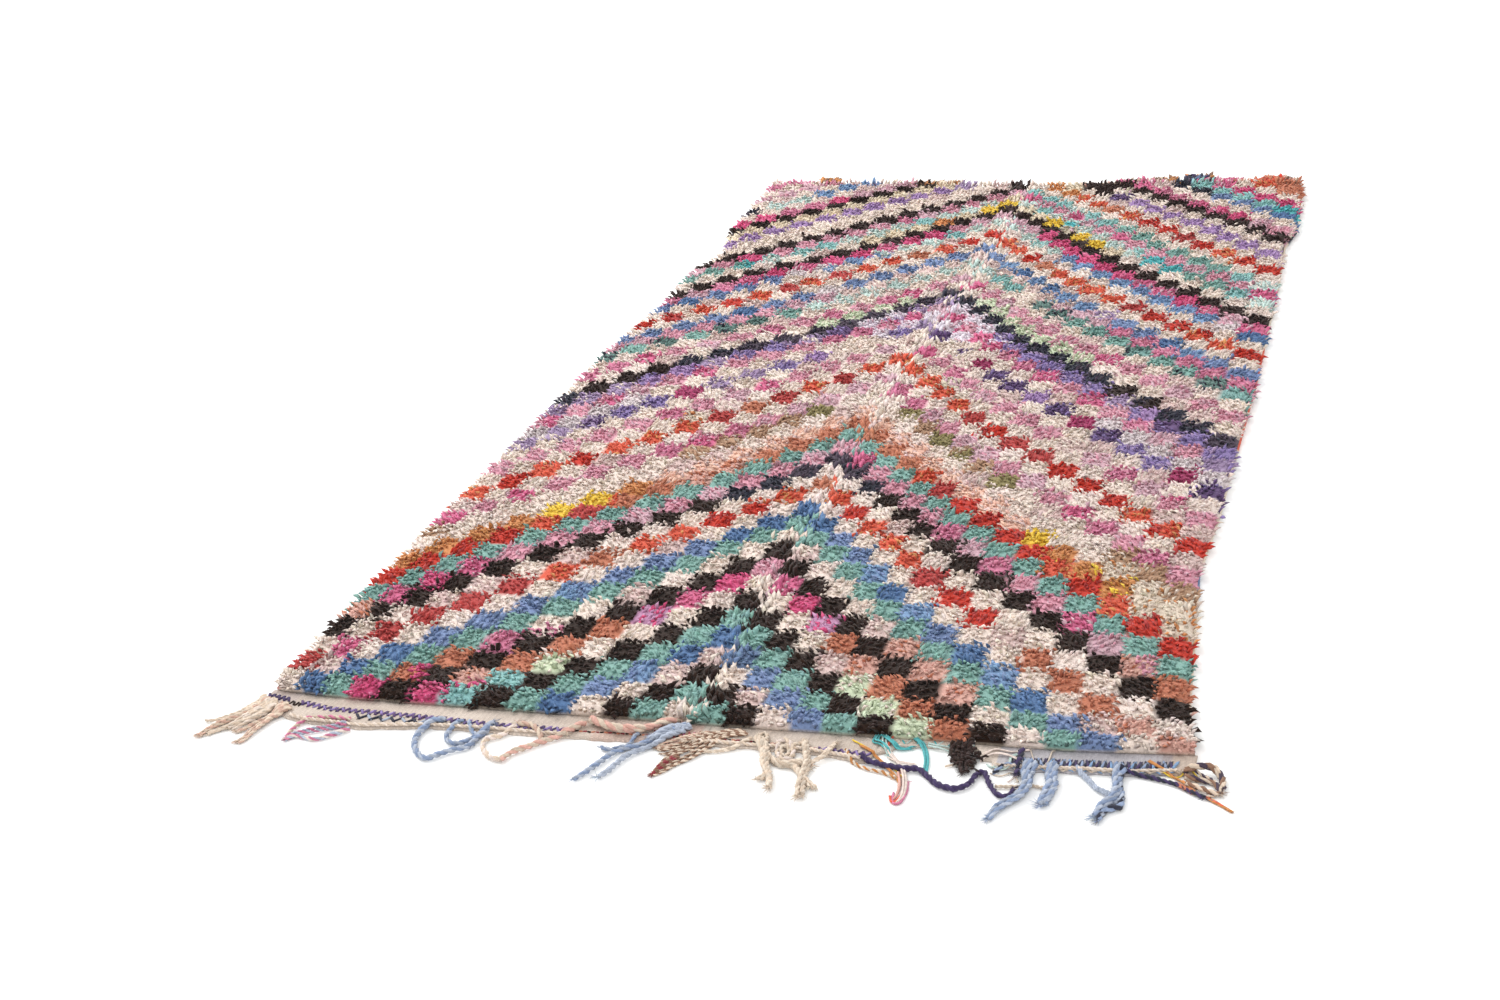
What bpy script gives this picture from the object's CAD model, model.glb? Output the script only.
"""The looks of a boucherouite rug: cotton rag pile knotted in chevron bands of coloured blocks, a
flat-woven near hem with its loose yarns, a short far hem with ragged tufts, and overcast sides.

Metres, +Z up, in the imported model's frame: +X across the rug, +Y along it away from the fringe."""

import math

import bmesh
import bpy
import numpy as np
from mathutils import Matrix, Vector


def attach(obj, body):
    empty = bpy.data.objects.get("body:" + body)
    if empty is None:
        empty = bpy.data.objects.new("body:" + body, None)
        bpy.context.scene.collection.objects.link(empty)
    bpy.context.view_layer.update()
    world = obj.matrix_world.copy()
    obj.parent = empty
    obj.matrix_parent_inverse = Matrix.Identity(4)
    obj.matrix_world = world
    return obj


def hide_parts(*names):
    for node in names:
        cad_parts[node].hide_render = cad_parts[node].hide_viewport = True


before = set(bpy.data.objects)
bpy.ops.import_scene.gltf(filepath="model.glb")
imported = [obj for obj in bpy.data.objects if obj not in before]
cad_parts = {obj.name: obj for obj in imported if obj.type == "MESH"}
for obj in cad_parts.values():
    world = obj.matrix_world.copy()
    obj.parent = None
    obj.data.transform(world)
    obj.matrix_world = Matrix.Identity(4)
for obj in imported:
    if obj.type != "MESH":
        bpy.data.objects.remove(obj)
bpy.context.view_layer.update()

# Where each kind of chance starts, so that every run is the same
SEEDS = {
    "chart": 7, "pile": 100, "warp": 23, "wool": 29, "threads": 31, "rolled edge": 37,
    "stitches": 41, "sides": 51, "far tufts": 61, "torn tuft": 67,
}

# Field of colour blocks: column 0 is on the middle line and row 0 lies against the near hem
COLUMNS_LEFT = 13
COLUMNS_RIGHT = 14
ROWS = 50
NARROW_COLUMN = 0.042
WIDE_COLUMN = 0.050
NARROW_COLUMNS = 5.5
LOCK_REACH = 0.006
ROW_MARKS = (
    # row, y of its middle
    (-0.5, -1.318),
    (0, -1.302),
    (1, -1.260),
    (9, -0.790),
    (18, -0.317),
    (25, 0.068),
    (33, 0.464),
    (41, 0.867),
    (49, 1.276),
    (49.5, 1.300),
)
MIDDLE_LINE = (
    # y, x
    (-1.30, -0.045),
    (-0.83, -0.040),
    (0.07, -0.040),
    (0.46, -0.018),
    (0.86, -0.004),
    (1.30, -0.018),
)
LEFT_EDGE = (
    # y, x
    (-1.32, -0.664),
    (-1.00, -0.667),
    (-0.70, -0.661),
    (0.08, -0.655),
    (0.39, -0.632),
    (0.59, -0.640),
    (0.75, -0.608),
    (0.90, -0.640),
    (1.31, -0.650),
)
RIGHT_EDGE = (
    # y, x
    (-1.32, 0.657),
    (-1.20, 0.638),
    (-0.78, 0.611),
    (-0.58, 0.622),
    (0.00, 0.636),
    (0.55, 0.641),
    (0.83, 0.638),
    (0.95, 0.657),
    (1.31, 0.648),
)
NEAR_EDGE = (
    # x, y
    (-0.65, -1.303),
    (-0.54, -1.312),
    (0.00, -1.314),
    (0.50, -1.314),
    (0.65, -1.302),
)
FAR_EDGE = (
    # x, y
    (-0.65, 1.306),
    (-0.30, 1.304),
    (-0.05, 1.288),
    (0.09, 1.276),
    (0.25, 1.300),
    (0.65, 1.304),
)

# The knots wander from their even places, by these shares of a column across and of a row lengthwise
DRIFT_COLUMNS = (-13.5, -11, -9, -7, -5, -3, 0, 3, 5, 7, 9, 11, 14.5)
DRIFT_ROWS = (3, 8, 13, 18, 23, 28, 33, 38, 43, 48)
DRIFT_ACROSS = (
    (0.0, -0.6, -0.6, -0.6, -0.5, -0.1, 0.1, 0.2, 0.3, 0.3, 0.3, 0.2, 0.0),
    (0.0, -0.6, -0.7, -0.6, -0.5, -0.2, 0.0, 0.2, 0.2, 0.2, 0.2, 0.1, 0.0),
    (0.0, -0.3, -0.4, -0.5, -0.4, -0.1, 0.1, 0.2, 0.2, 0.2, 0.1, 0.0, 0.0),
    (0.0, -0.3, -0.3, -0.3, -0.3, -0.2, 0.0, 0.1, 0.0, -0.1, -0.1, 0.0, 0.0),
    (-0.3, -0.5, -0.5, -0.5, -0.4, -0.2, -0.1, -0.1, -0.2, -0.2, -0.2, -0.1, 0.0),
    (-0.3, -0.4, -0.4, -0.4, -0.1, 0.0, 0.0, 0.0, 0.0, -0.1, -0.1, 0.0, 0.0),
    (-0.3, -0.3, -0.3, -0.4, -0.4, 0.0, 0.0, 0.1, 0.0, -0.1, -0.1, 0.0, 0.0),
    (-0.6, -0.6, -0.6, -0.6, -0.6, -0.4, 0.0, 0.0, 0.0, -0.1, -0.1, -0.1, 0.0),
    (-0.3, -0.3, -0.2, -0.3, -0.4, -0.1, 0.0, 0.0, 0.0, -0.1, -0.2, -0.2, -0.1),
    (-0.3, -0.3, -0.4, -0.4, -0.5, -0.1, 0.1, 0.4, 0.2, 0.1, -0.1, -0.1, -0.1),
)
DRIFT_LENGTHWISE = (
    (0.2, 0.1, 0.0, 0.0, 0.0, -0.1, -0.1, 0.0, -0.1, -0.1, -0.2, -0.3, -0.4),
    (0.3, 0.2, 0.1, 0.0, 0.0, -0.1, -0.1, -0.1, -0.2, -0.3, -0.3, -0.3, -0.3),
    (0.2, 0.1, 0.1, 0.0, -0.1, -0.1, -0.1, -0.2, -0.2, -0.3, -0.5, -0.5, -0.6),
    (0.4, 0.4, 0.4, 0.3, 0.2, 0.1, 0.0, -0.1, -0.2, -0.2, -0.3, -0.5, -0.5),
    (0.8, 0.7, 0.5, 0.4, 0.2, 0.2, 0.1, -0.1, -0.2, -0.3, -0.4, -0.5, -0.6),
    (0.6, 0.5, 0.2, 0.2, 0.1, 0.1, -0.1, -0.4, -0.5, -0.5, -0.5, -0.7, -0.8),
    (0.6, 0.5, 0.6, 0.3, 0.2, 0.0, 0.0, -0.1, -0.4, -0.4, -0.5, -0.7, -0.8),
    (0.7, 0.6, 0.5, 0.3, 0.3, 0.1, -0.1, -0.3, -0.3, -0.4, -0.5, -0.5, -0.5),
    (0.8, 0.7, 0.6, 0.5, 0.3, 0.1, 0.1, 0.0, -0.1, 0.0, 0.0, 0.0, 0.0),
    (0.8, 0.7, 0.7, 0.6, 0.4, 0.0, 0.0, 0.0, 0.0, 0.0, 0.0, 0.0, 0.0),
)

# Pile
BED_STEPS = 5
BED_VALLEY = 0.0136
BED_TOP = 0.0170
BED_RIM = 0.0075
CREASE_COLUMN = 0.5
CREASE_DEPTH = 0.0035
KNOT_ROWS = (0.05, 0.16, 0.31, 0.42, 0.57, 0.68, 0.83, 0.94)
LOCKS_NARROW = 6
LOCKS_WIDE = 7
LOCK_SHAPES = 10
LOCK_GIRTH = 0.0027
LOCK_LENGTH = 0.0165
LOCK_WIDER = 1.25
LOCK_FLATTER = 0.85
LOCK_SET_BACK = 0.45
LOCK_LEAN = (24, 46)
LOCK_CURL = (26, 50)
LOCK_SWAY = (-0.45, 0.45)
LOCK_BELLY = (0.48, 0.66)
LOCK_TONES = ((0.0, 0.90), (0.3, 0.97), (0.6, 1.0), (0.95, 1.04))
TUFT_TONES = ((0.0, 0.6), (0.3, 0.85), (0.6, 1.0), (0.95, 1.08))
LOCK_DEPTH = 0.0050
LOCK_CLEARANCE = 0.0006
LOCK_TOP = 0.0375
SECOND_YARN_CHANCE = 0.15
KNOT_STAGGER = 0.22
# Headings that the pile of a block may take, in half turns from +X: mostly towards the near end
PILE_HEADINGS = (-0.5, -0.5, -0.25, -0.75, 0.0, 1.0)
BLOCK_SLIP = 0.055
BLOCK_SPREAD = (0.95, 1.12)
COMBED_WIDTH = 0.42
COMBED_LENGTH = 1.35
RIM_COLUMNS = 0.35
RIM_ROWS = 0.4
RIM_PULL = 2.2
RIM_DROP = 0.003
FAR_RIM_LIFT = 0.009
FAR_RIM_OUT = 0.008
PILE_PIECES = 5

YARNS = {
    "cream": "E3D3C8",
    "ivory": "E3D3CA",
    "ecru": "D6C7B6",
    "blush": "D1B8B3",
    "peach": "E1B7A4",
    "sea_green": "83AAA1",
    "deep_green": "7CA39E",
    "pale_green": "C7D1B4",
    "mint": "BBCEC8",
    "teal": "91C0BE",
    "turquoise": "58AEB1",
    "bottle": "66837D",
    "sage": "CAC0AB",
    "brown_black": "2B1B13",
    "charcoal": "4B3F4D",
    "navy": "323340",
    "black": "342421",
    "blue": "7A8DB3",
    "cobalt": "58769F",
    "denim": "627697",
    "sky": "7C9ABD",
    "pale_blue": "D4C8C9",
    "magenta": "CC517D",
    "hot_pink": "CC688C",
    "pink": "D094A4",
    "light_pink": "CCA8B2",
    "lilac": "BA89AA",
    "rose": "C77894",
    "coral": "BA755B",
    "coral_pink": "CEA194",
    "tomato": "CF5A43",
    "orange": "CB8A58",
    "red": "C0382A",
    "crimson": "B04341",
    "wine": "8C3A40",
    "yellow": "E5C247",
    "amber": "BF824C",
    "pale_yellow": "DCCCB4",
    "taupe": "AE8B71",
    "olive": "90855B",
    "plum": "A13D65",
    "indigo": "624A73",
    "violet": "8977A8",
    "purple": "A283B1",
    "lavender": "A08AAB",
    "lavender_white": "DED3DC",
    "hem_cream": "DACBBE",
    "hem_grey": "C3B3A6",
    "rope": "D2BFAC",
    "rope_pink": "C9A897",
    "rope_brown": "8A6A57",
    "slate_blue": "A6AEBD",
    "dusty_blue": "8796B2",
    "grape": "43375A",
}
# A block's band is its row plus its distance in columns from the middle. Each band's yarns, from its
# innermost block out to the left edge, and out to the right edge: pink*3 stands for about three blocks of
# pink, and the last yarn goes on to the edge
BANDS = (
    ("cream", "cream"),
    ("sea_green", "sea_green"),
    ("brown_black", "brown_black"),
    ("cream", "cream"),
    ("cobalt blue*3 cobalt", "denim blue"),
    ("sea_green", "sea_green"),
    ("brown_black", "brown_black"),
    ("cream*5 pale_green teal", "cream*4 pale_green"),
    ("pink magenta*2 lilac coral*4 magenta", "magenta*2 lilac coral"),
    ("brown_black", "brown_black"),
    ("cream*7 rose coral*2 magenta", "cream*5 coral_pink*3 cream"),
    ("sea_green", "sea_green"),
    ("cobalt*3 blue*8 cobalt", "blue*9 cobalt blue"),
    ("ivory*2 cream", "ivory*2 cream"),
    ("tomato*9 crimson*3 hot_pink crimson", "tomato*5 red*3 blush coral"),
    ("ivory*3 cream", "ivory*2 cream"),
    ("charcoal*2 navy*2 brown_black", "charcoal navy brown_black"),
    ("pink*10 magenta*3 coral_pink", "pink*12 coral_pink coral"),
    ("sea_green", "sea_green"),
    ("coral*7 tomato*2 red", "coral*3 red*10 tomato"),
    ("peach*7 orange yellow*2 orange", "peach*8 yellow amber*3 ecru"),
    ("cream", "cream*11 ecru"),
    ("cream*2 olive taupe*4 cream*6 taupe", "cream taupe*6 cream*4 taupe"),
    ("light_pink*4 pink*2 hot_pink*2 pink", "pink*9 magenta pink"),
    ("ivory*2 cream", "ivory cream"),
    ("tomato*9 red", "tomato*8 red"),
    ("cream*7 ecru cream", "cream*2 sage cream"),
    ("blush pink", "pink*8 blush pink*4 hot_pink"),
    ("cream", "cream"),
    ("violet*2 cream*2 violet*4 indigo*3 lavender", "indigo cream*2 indigo*3 violet*2 indigo"),
    ("lavender_white*3 cream*7 pale_blue", "lavender_white*2 cream*7 pale_blue"),
    ("light_pink hot_pink*3 pink", "hot_pink*5 pink*8 lavender"),
    ("lavender*2 lavender_white*2 violet*7 lavender", "lavender_white*3 violet"),
    ("charcoal*8 navy*2 black*3 navy", "navy*9 black*2 navy*2 charcoal"),
    ("cream*2 pale_green*4 cream", "cream pale_green*7 cream"),
    ("light_pink hot_pink*2 pink", "hot_pink*2 light_pink pink"),
    ("cream", "cream"),
    ("mint*7 bottle", "mint*3 cream bottle*9 deep_green"),
    ("blush*6 light_pink*2 pink", "blush*6 light_pink*2 rose"),
    ("blue*6 pale_blue blue", "blue*7 violet blue"),
    ("cream", "cream"),
    ("tomato*6 red", "tomato*5 red"),
    ("cream*2 blush cream", "cream blush cream"),
    ("mint*5 sky*2 pale_blue*2 blue", "mint*4 sky*8 pale_blue blue"),
    ("pink*3 magenta*8 pink", "pink*2 magenta*10 pink"),
    ("black", "black"),
    ("yellow*3 amber pale_yellow*3 cream", "yellow*3 sage yellow*3 cream"),
    ("pale_yellow mint*9 teal*2 sea_green", "mint*3 teal*7 sea_green*2 teal"),
    ("pink*11 magenta pink", "pink*13 hot_pink"),
    ("black", "mint*4 teal*2 sea_green*6 teal"),
    ("cream", "cream"),
    ("cream", "orange*2 tomato*8 red"),
    ("lavender purple", "pale_yellow cream"),
    ("pale_yellow", "black*2 indigo purple"),
    ("brown_black", "black sage cream"),
    ("light_pink*3 magenta rose*2 magenta", "black"),
    ("cream", "hot_pink*4 magenta*2 pink"),
    ("blue*3 teal*2 navy", "blush cream"),
    ("cream", "navy*2 blue"),
    ("rose light_pink", "teal"),
    ("cream", "hot_pink magenta"),
    ("rose", "cream"),
    ("cream", "tomato coral"),
    ("coral", "coral"),
)
# The bundle that a block's rags come from: the knotter takes one of them at random
BUNDLES = {
    "cream": "cream cream cream cream cream ivory blush",
    "pink": "pink pink pink pink hot_pink rose light_pink",
    "hot_pink": "hot_pink hot_pink pink rose",
    "magenta": "magenta magenta magenta hot_pink",
    "tomato": "tomato tomato tomato red coral crimson",
    "red": "red red crimson tomato tomato",
    "coral": "coral coral coral coral coral_pink",
    "violet": "violet violet violet lavender purple indigo",
    "indigo": "indigo indigo violet plum",
    "blue": "blue blue blue cobalt sky",
    "mint": "mint mint mint teal",
    "teal": "teal teal turquoise mint",
    "bottle": "bottle bottle deep_green sea_green",
    "taupe": "taupe taupe olive",
    "yellow": "yellow yellow pale_yellow",
    "amber": "amber orange",
}
# Yarns that are spun of more than one rag: the other rag and its share of the locks
MIXED = {
    "pink": ("light_pink", 0.20),
    "hot_pink": ("light_pink", 0.18),
    "light_pink": ("pink", 0.18),
    "magenta": ("hot_pink", 0.20),
    "violet": ("lavender", 0.25),
    "indigo": ("violet", 0.18),
    "lavender": ("cream", 0.25),
    "lilac": ("magenta", 0.35),
    "lavender_white": ("light_pink", 0.15),
    "taupe": ("ecru", 0.20),
    "sage": ("light_pink", 0.25),
    "orange": ("amber", 0.22),
    "amber": ("yellow", 0.28),
    "cream": ("ecru", 0.12),
    "ecru": ("orange", 0.22),
    "blush": ("cream", 0.30),
    "peach": ("blush", 0.35),
    "coral_pink": ("coral", 0.20),
    "blue": ("denim", 0.20),
    "sky": ("blue", 0.30),
    "navy": ("charcoal", 0.25),
    "charcoal": ("navy", 0.20),
    "brown_black": ("black", 0.35),
    "sea_green": ("deep_green", 0.14),
    "mint": ("cream", 0.22),
    "teal": ("sea_green", 0.22),
    "bottle": ("navy", 0.25),
    "pale_green": ("cream", 0.25),
    "rose": ("pink", 0.20),
    "wine": ("coral", 0.20),
    "tomato": ("orange", 0.15),
    "red": ("crimson", 0.25),
}

# Near hem and the yarns on it
HEM_THICKNESS = 0.0042
HEM_LEFT = -0.662
HEM_RIGHT = 0.656
HEM_GAP = 0.0004
HEM_STEP = 0.004
HEM_ROWS = 8
HEM_LUMPS = 0.0016
HEM_FRONT = (
    # x, y
    (-0.662, -1.342),
    (-0.640, -1.362),
    (-0.580, -1.384),
    (-0.482, -1.390),
    (-0.384, -1.374),
    (-0.133, -1.372),
    (0.010, -1.365),
    (0.150, -1.365),
    (0.236, -1.379),
    (0.246, -1.356),
    (0.262, -1.350),
    (0.270, -1.332),
    (0.322, -1.328),
    (0.376, -1.332),
    (0.384, -1.350),
    (0.398, -1.352),
    (0.404, -1.371),
    (0.563, -1.362),
    (0.655, -1.348),
)
TWINING_LINE = (
    # x, y
    (-0.662, -1.322),
    (-0.551, -1.347),
    (-0.440, -1.349),
    (-0.285, -1.357),
    (-0.152, -1.357),
    (-0.064, -1.354),
    (0.087, -1.350),
    (0.187, -1.358),
    (0.240, -1.362),
)
MENDED_PLACES = (
    # x first, last; yarn of its wefts; their share of the colour
    (-0.67, -0.612, "violet", 0.10),
    (-0.065, 0.002, "coral_pink", 0.55),
    (-0.150, -0.066, "coral_pink", 0.30),
    (0.405, 0.625, "dusty_blue", 0.45),
    (0.612, 0.66, "rope_brown", 0.30),
)
TWINING_END = 0.24
STITCHES = (
    # x first, last; y off its line; pitch, length, width; slant in degrees; yarns
    (-0.660, -0.622, 0.000, 0.0044, 0.017, 0.0046, 62, "grape"),
    (-0.622, -0.600, -0.006, 0.0050, 0.013, 0.0036, 80, "brown_black"),
    (-0.600, -0.190, 0.000, 0.0050, 0.0170, 0.0046, 55, "indigo grape violet"),
    (-0.190, 0.172, 0.000, 0.0060, 0.0066, 0.0032, 12, "brown_black coral wine"),
    (-0.062, 0.012, 0.007, 0.0040, 0.018, 0.0036, 68, "wine coral rose rope_brown"),
    (0.172, 0.240, 0.000, 0.0050, 0.0165, 0.0040, 55, "indigo violet grape"),
    (-0.500, -0.382, -0.014, 0.0090, 0.022, 0.0048, 50, "navy navy slate_blue"),
    (0.425, 0.632, 0.016, 0.0037, 0.029, 0.0050, 74, "navy grape navy dusty_blue navy grape sky"),
    (0.405, 0.645, 0.002, 0.0060, 0.0130, 0.0024, 35, "ecru sky rope"),
    (0.262, 0.380, 0.008, 0.0070, 0.0120, 0.0026, 60, "mint ecru turquoise"),
)
# Yarns that lie along the near hem and off it, each from the hem to its tip
WARP_STRANDS = (
    # yarns of the plies; width at the hem, at the tip; copies; apart at the hem, at the tip; x, y; in mm
    ("rope hem_cream", 8, 4, 4, 26, 22, ((-640, -1346), (-652, -1372), (-664, -1396), (-674, -1416))),
    ("rope rope_pink", 7, 4, 3, 12, 6, (
        (-654, -1336), (-668, -1373), (-689, -1402), (-702, -1423), (-709, -1444),
    )),
    ("rope ecru", 7, 4, 3, 12, 9, (
        (-640, -1340), (-649, -1378), (-669, -1402), (-685, -1421), (-695, -1432),
    )),
    ("rope rope_pink", 7, 4, 3, 10, 5, (
        (-620, -1349), (-629, -1389), (-636, -1414), (-638, -1439), (-642, -1450),
    )),
    ("ecru rope", 7, 4, 2, 10, 9, (
        (-659, -1333), (-668, -1356), (-676, -1382), (-700, -1397), (-716, -1403),
    )),
    ("rope_pink rope", 6, 4, 2, 8, 8, (
        (-608, -1355), (-622, -1378), (-637, -1396), (-649, -1413), (-659, -1423),
    )),
    ("rose rope", 6, 5, 1, 0, 0, (
        (-505, -1375), (-542, -1375), (-572, -1383), (-580, -1405), (-577, -1429),
    )),
    ("slate_blue ivory rose", 6, 5, 1, 0, 0, (
        (-497, -1395), (-517, -1416), (-536, -1428), (-564, -1423), (-575, -1430),
    )),
    ("rose slate_blue", 5, 4, 2, 7, 4, (
        (-506, -1385), (-531, -1398), (-554, -1409), (-570, -1420), (-576, -1432),
    )),
    ("ivory rope", 7, 7, 1, 0, 0, (
        (-260, -1360), (-274, -1384), (-290, -1396), (-286, -1417), (-267, -1439), (-249, -1443),
    )),
    ("coral_pink rope", 8, 9, 1, 0, 0, (
        (-248, -1445), (-242, -1426), (-229, -1412), (-212, -1394), (-194, -1378), (-177, -1359),
        (-166, -1342),
    )),
    ("rope_pink rope", 8, 7, 1, 0, 0, ((-211, -1389), (-221, -1372), (-238, -1358), (-257, -1355))),
    ("coral_pink rope", 11, 8, 2, 6, 4, (
        (-159, -1334), (-126, -1351), (-100, -1356), (-75, -1347), (-56, -1330), (-41, -1319),
    )),
    ("rope rope_brown", 4.5, 3, 4, 20, 6, (
        (60, -1332), (36, -1343), (19, -1369), (4, -1397), (-13, -1419), (-25, -1438), (-32, -1448),
    )),
    ("rope rope_brown", 4.5, 3, 3, 12, 10, (
        (42, -1334), (19, -1348), (-1, -1362), (-22, -1373), (-37, -1383), (-48, -1383),
    )),
    ("rope rope_brown", 4.5, 3, 4, 20, 8, (
        (29, -1340), (9, -1357), (-8, -1380), (-20, -1399), (-27, -1424), (-31, -1442),
    )),
    ("rope rope_pink", 4.5, 3, 3, 12, 10, (
        (14, -1342), (-3, -1355), (-24, -1368), (-41, -1373), (-51, -1380),
    )),
    ("rope rope_brown", 4.5, 3, 2, 8, 8, (
        (4, -1341), (-8, -1362), (-19, -1384), (-28, -1393), (-37, -1397),
    )),
    ("rope_brown wine", 5, 4, 3, 8, 5, ((-14, -1400), (-20, -1416), (-27, -1433), (-32, -1449))),
    ("ecru rope", 6, 5, 1, 0, 0, ((75, -1348), (60, -1365), (40, -1378), (18, -1383), (0, -1384))),
    ("rope ecru", 8, 8, 2, 5, 9, ((81, -1346), (99, -1375), (110, -1407), (122, -1433), (131, -1459))),
    ("rope ecru", 7, 6, 2, 4, 9, ((90, -1348), (105, -1380), (113, -1412), (116, -1431), (110, -1441))),
    ("rope ivory", 7, 7, 1, 0, 0, (
        (114, -1357), (121, -1349), (132, -1358), (139, -1374), (136, -1389), (126, -1388), (117, -1374),
        (114, -1356),
    )),
    ("rope ecru", 6, 6, 1, 0, 0, (
        (120, -1364), (127, -1361), (133, -1371), (130, -1381), (124, -1376), (120, -1362),
    )),
    ("rope ecru", 8, 8, 2, 5, 5, ((104, -1380), (125, -1401), (143, -1402), (156, -1398), (166, -1400))),
    ("rope ecru", 8, 7, 2, 5, 9, (
        (148, -1346), (157, -1373), (165, -1399), (167, -1426), (170, -1450), (173, -1472),
    )),
    ("rope ecru", 7, 5, 2, 4, 9, ((147, -1403), (161, -1421), (173, -1436), (185, -1448))),
    ("ecru rope", 6, 6, 1, 0, 0, ((132, -1361), (141, -1353), (152, -1356))),
    ("rope ecru", 6, 6, 1, 0, 0, (
        (84, -1340), (87, -1332), (94, -1339), (96, -1351), (90, -1354), (85, -1344),
    )),
    ("ecru rope", 5, 5, 2, 4, 4, ((165, -1394), (178, -1380), (186, -1363), (188, -1347))),
    ("ecru amber", 5, 5, 1, 0, 0, ((207, -1357), (218, -1378), (239, -1393), (264, -1400), (284, -1410))),
    ("rope ecru", 5, 4, 1, 0, 0, ((414, -1413), (435, -1411), (454, -1404), (475, -1407), (486, -1401))),
    ("rope rope_brown charcoal", 8, 6, 2, 6, 6, (
        (642, -1349), (660, -1341), (677, -1343), (688, -1358), (692, -1379),
    )),
    ("rope charcoal rope_brown", 8, 6, 1, 0, 0, ((644, -1361), (664, -1364), (681, -1369), (690, -1388))),
    ("rope rope_brown", 8, 6, 1, 0, 0, ((647, -1374), (665, -1383), (683, -1392), (689, -1392))),
    ("charcoal rope", 5, 4, 1, 0, 0, (
        (653, -1344), (666, -1352), (680, -1363), (689, -1381), (680, -1397), (664, -1398),
    )),
)
WOOL_YARNS = (
    # yarns of the plies; width at the hem, at the tip; copies; apart at the hem, at the tip; x, y; in mm
    ("slate_blue dusty_blue", 8, 8, 1, 0, 0, (
        (-365, -1360), (-382, -1367), (-391, -1387), (-388, -1414), (-375, -1439), (-354, -1456),
        (-340, -1443), (-324, -1429), (-307, -1418), (-304, -1397), (-299, -1374), (-295, -1360),
    )),
    ("slate_blue dusty_blue", 7, 7, 1, 0, 0, (
        (-341, -1357), (-349, -1372), (-350, -1393), (-339, -1410), (-322, -1411), (-310, -1394),
        (-303, -1375), (-297, -1360),
    )),
    ("slate_blue dusty_blue", 6, 6, 1, 0, 0, ((-332, -1356), (-319, -1377), (-302, -1385), (-294, -1367))),
    ("slate_blue dusty_blue", 8, 6, 1, 0, 0, (
        (-21, -1329), (-50, -1346), (-58, -1367), (-77, -1384), (-97, -1389), (-109, -1397), (-123, -1394),
    )),
    ("slate_blue dusty_blue", 8, 6, 1, 0, 0, (
        (-28, -1337), (-51, -1352), (-66, -1371), (-85, -1389), (-101, -1404), (-114, -1437), (-123, -1460),
        (-132, -1476),
    )),
    ("slate_blue slate_blue", 8, 7, 1, 0, 0, (
        (-21, -1343), (-39, -1360), (-61, -1386), (-79, -1406), (-87, -1427), (-93, -1450), (-101, -1466),
    )),
    ("slate_blue dusty_blue", 6, 5, 1, 0, 0, ((-68, -1338), (-81, -1352), (-87, -1373), (-92, -1389))),
    ("slate_blue slate_blue", 7, 7, 3, 14, 8, ((-18, -1329), (-33, -1339), (-46, -1349), (-57, -1362))),
    ("grape grape", 8, 7, 1, 0, 0, (
        (231, -1374), (258, -1384), (289, -1390), (310, -1389), (326, -1405), (342, -1422), (365, -1429),
        (380, -1415), (386, -1390), (395, -1384), (406, -1410), (421, -1434), (435, -1434), (437, -1420),
    )),
    ("slate_blue dusty_blue", 9, 6, 2, 9, 5, (
        (448, -1356), (447, -1380), (454, -1406), (450, -1433), (438, -1449), (424, -1469), (418, -1487),
    )),
    ("slate_blue dusty_blue", 8, 5, 1, 0, 0, (
        (457, -1360), (454, -1381), (452, -1406), (443, -1430), (431, -1452), (420, -1480),
    )),
    ("slate_blue dusty_blue", 9, 8, 3, 10, 12, (
        (478, -1359), (480, -1382), (485, -1405), (483, -1431), (479, -1448),
    )),
    ("slate_blue slate_blue", 5, 5, 2, 4, 3, (
        (509, -1358), (525, -1382), (540, -1401), (555, -1412), (565, -1421),
    )),
    ("slate_blue dusty_blue", 9, 8, 2, 8, 10, (
        (560, -1349), (562, -1377), (566, -1402), (564, -1423), (556, -1442), (549, -1465),
    )),
    ("dusty_blue navy", 9, 8, 1, 0, 0, (
        (567, -1356), (565, -1383), (572, -1411), (574, -1440), (565, -1445), (554, -1457), (552, -1473),
    )),
    ("slate_blue slate_blue", 8, 8, 1, 0, 0, (
        (557, -1415), (564, -1407), (572, -1412), (573, -1426), (564, -1430), (558, -1422),
    )),
    ("grape navy", 8, 7, 1, 0, 0, ((434, -1331), (435, -1358), (436, -1383))),
    ("navy dusty_blue", 6, 5, 1, 0, 0, ((406, -1383), (414, -1369), (428, -1363))),
    ("grape navy", 6, 5, 1, 0, 0, (
        (565, -1358), (589, -1362), (614, -1369), (635, -1377), (656, -1392), (671, -1401),
    )),
    ("black brown_black", 8, 6, 2, 16, 12, ((347, -1322), (348, -1343), (355, -1356), (366, -1366))),
    ("black black", 8, 6, 2, 14, 12, ((362, -1317), (362, -1345), (366, -1376), (373, -1388))),
)
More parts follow.
